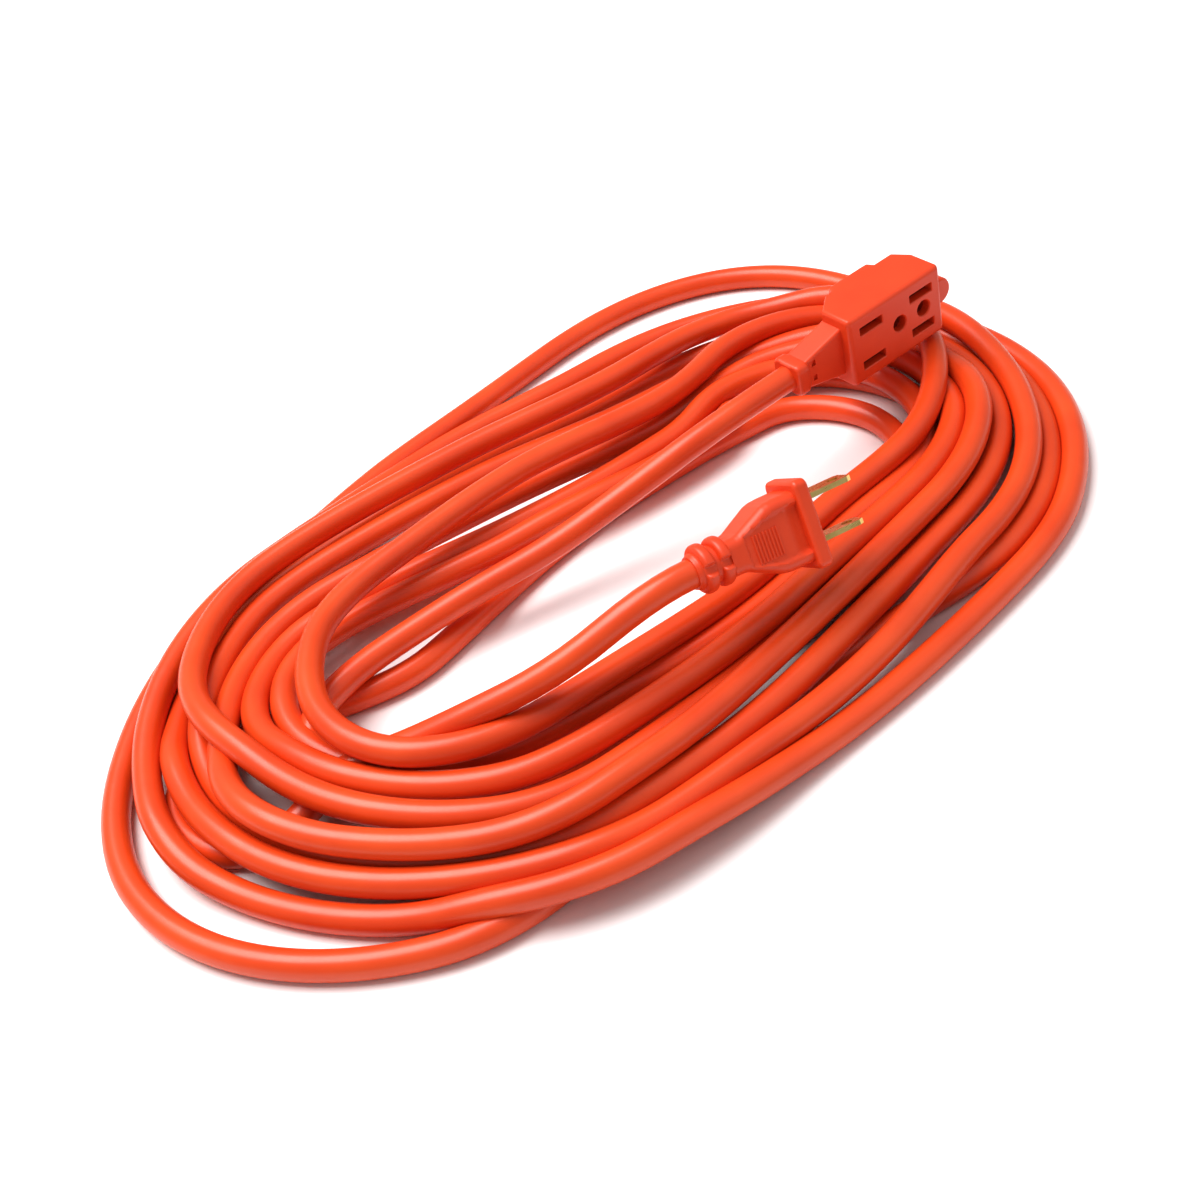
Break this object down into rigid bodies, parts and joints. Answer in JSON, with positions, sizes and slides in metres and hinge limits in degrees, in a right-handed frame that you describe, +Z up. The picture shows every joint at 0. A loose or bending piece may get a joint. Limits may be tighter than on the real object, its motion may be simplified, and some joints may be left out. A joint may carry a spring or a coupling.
{
  "type": "extension cord",
  "caption": "Household extension cord wound into a flat oblong coil, with a flat two-blade plug and a block tap with outlets.",
  "frame": {"origin": "bottom centre of the whole object's box, on the floor under the coil's middle", "axes": "+X along the coil's long side towards the end that the outlet tap lies on, +Y towards the coil's far side from the plug, +Z up from the floor"},
  "size_m": [0.342, 0.222, 0.0575],
  "materials": {
    "orange_jacket": "satin",
    "orange_moulding": "satin",
    "blade_brass": "satin",
    "contact_brass": "satin",
    "insert_plastic": "matte",
    "neutral_insulation": "satin",
    "line_insulation": "satin"
  },
  "bodies": {
    "root": {"coil": "orange_jacket", "plug_lead": "orange_jacket", "tap_lead": "orange_jacket", "plug_body": "orange_moulding", "tap_body": "orange_moulding", "plug_blade_bridge": "insert_plastic", "plug_neutral_blade": "blade_brass", "plug_line_blade": "blade_brass", "plug_neutral_crimp": "contact_brass", "plug_line_crimp": "contact_brass", "plug_neutral_wire": "neutral_insulation", "plug_line_wire": "line_insulation", "tap_front_carrier": "insert_plastic", "tap_rear_carrier": "insert_plastic", "tap_neutral_bus": "contact_brass", "tap_line_bus": "contact_brass", "tap_neutral_clip_left": "contact_brass", "tap_neutral_clip_right": "contact_brass", "tap_neutral_clip_rear": "contact_brass", "tap_line_clip_left": "contact_brass", "tap_line_clip_right": "contact_brass", "tap_line_clip_rear": "contact_brass", "tap_neutral_crimp": "contact_brass", "tap_line_crimp": "contact_brass", "tap_neutral_wire": "neutral_insulation", "tap_line_wire": "line_insulation"}
  },
  "joints": []
}
